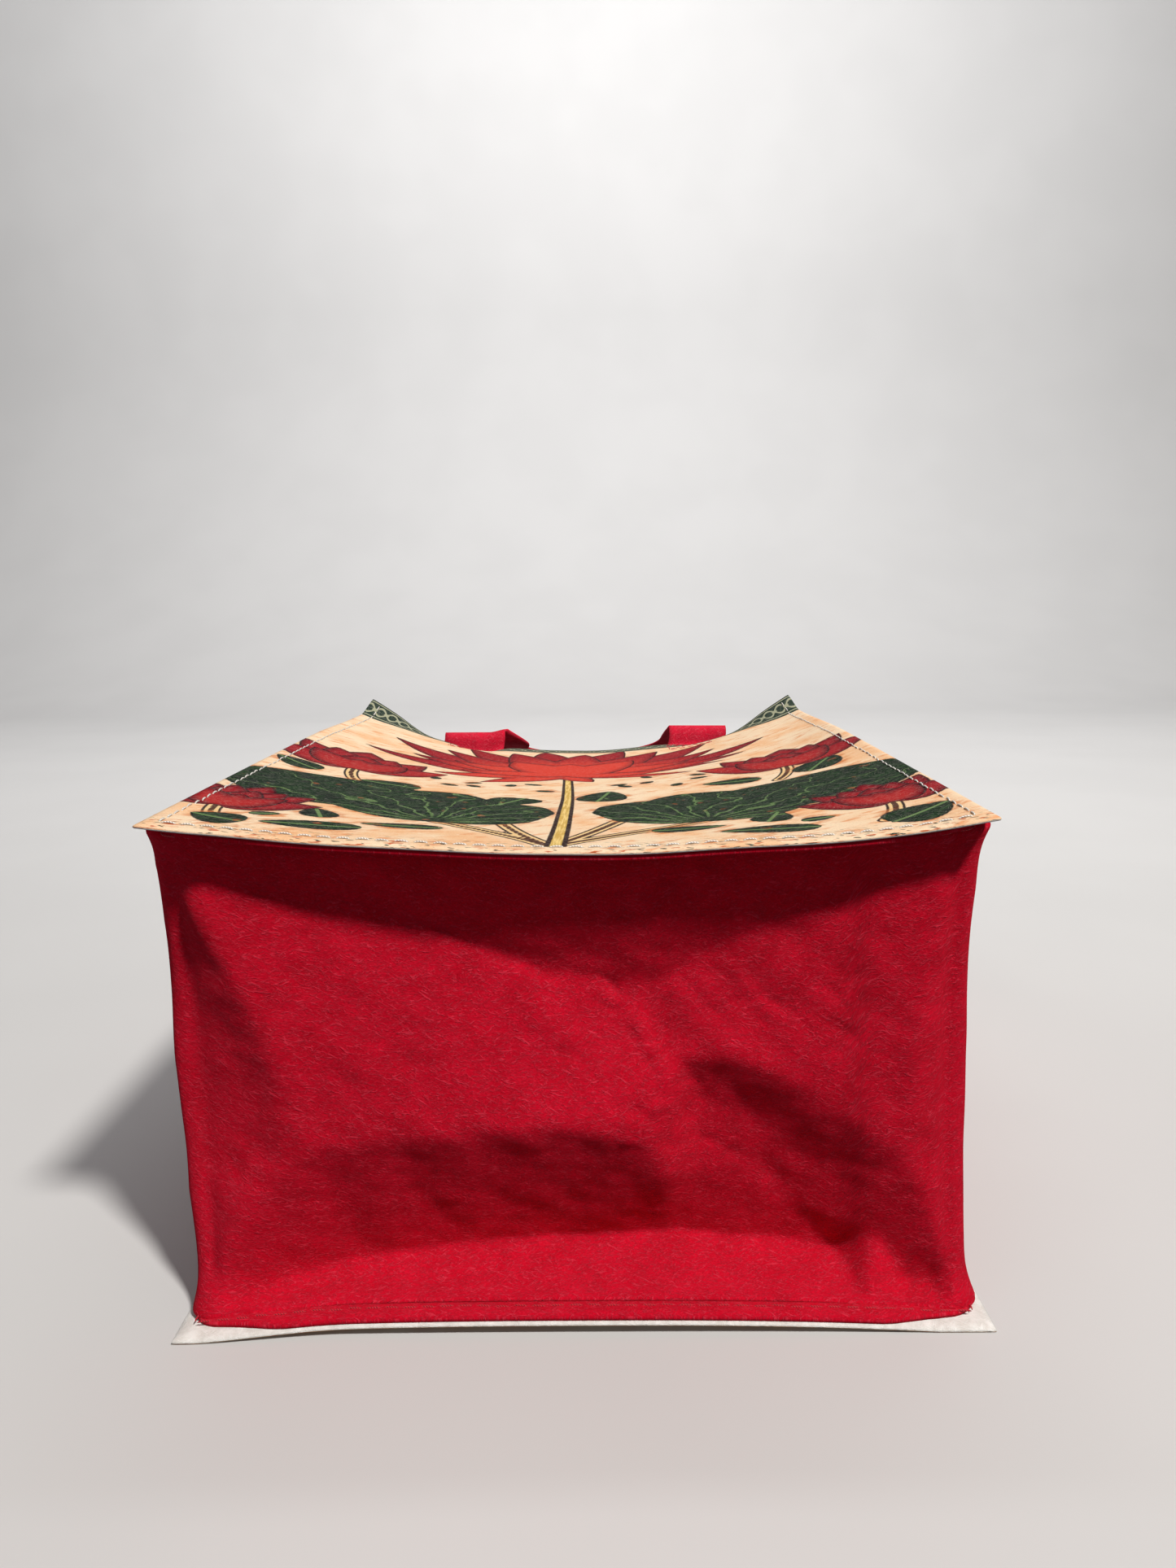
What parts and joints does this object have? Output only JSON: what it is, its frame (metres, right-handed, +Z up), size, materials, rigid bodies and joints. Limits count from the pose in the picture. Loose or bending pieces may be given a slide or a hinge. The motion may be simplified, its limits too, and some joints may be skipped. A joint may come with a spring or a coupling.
{
  "type": "gift bag",
  "caption": "Felt gift bag lying on its back panel, with printed front and back panels, a plain gusset strip and two strap handles that swing.",
  "frame": {"origin": "centre of the back panel's outer face, which the bag rests on", "axes": "+Z up, off the back panel; +Y from the bottom of the bag to its mouth; +X to the right when the bottom of the bag is faced"},
  "size_m": [0.213, 0.3889, 0.1392],
  "materials": {
    "printed_felt": "cream felt, printed outside and white inside",
    "red_felt": "matt needled felt",
    "strap_felt": "matt needled felt, cut edges",
    "white_thread": "spun sewing thread",
    "red_thread": "spun sewing thread"
  },
  "bodies": {
    "bag": {"front_panel": "printed_felt", "back_panel": "printed_felt", "gusset": "red_felt", "front_handle_left_end": "strap_felt", "front_handle_right_end": "strap_felt", "back_handle_left_end": "strap_felt", "back_handle_right_end": "strap_felt", "front_seam_needle_thread": "white_thread", "front_seam_bobbin_thread": "red_thread", "back_seam_needle_thread": "white_thread", "back_seam_bobbin_thread": "red_thread", "front_handle_left_stitches": "red_thread", "front_handle_right_stitches": "red_thread", "back_handle_left_stitches": "red_thread", "back_handle_right_stitches": "red_thread"},
    "front_handle": {"front_handle_loop": "strap_felt"},
    "back_handle": {"back_handle_loop": "strap_felt"}
  },
  "joints": [
    {"name": "front_handle_swing", "type": "hinge", "parent": "bag", "child": "front_handle", "pos_m": [0, 0.14895, 0.12593], "axis": [1, 0, 0], "range_deg": [-10, 120]},
    {"name": "back_handle_swing", "type": "hinge", "parent": "bag", "child": "back_handle", "pos_m": [0, 0.14295, 0.00235], "axis": [1, 0, 0], "range_deg": [0, 90]}
  ]
}
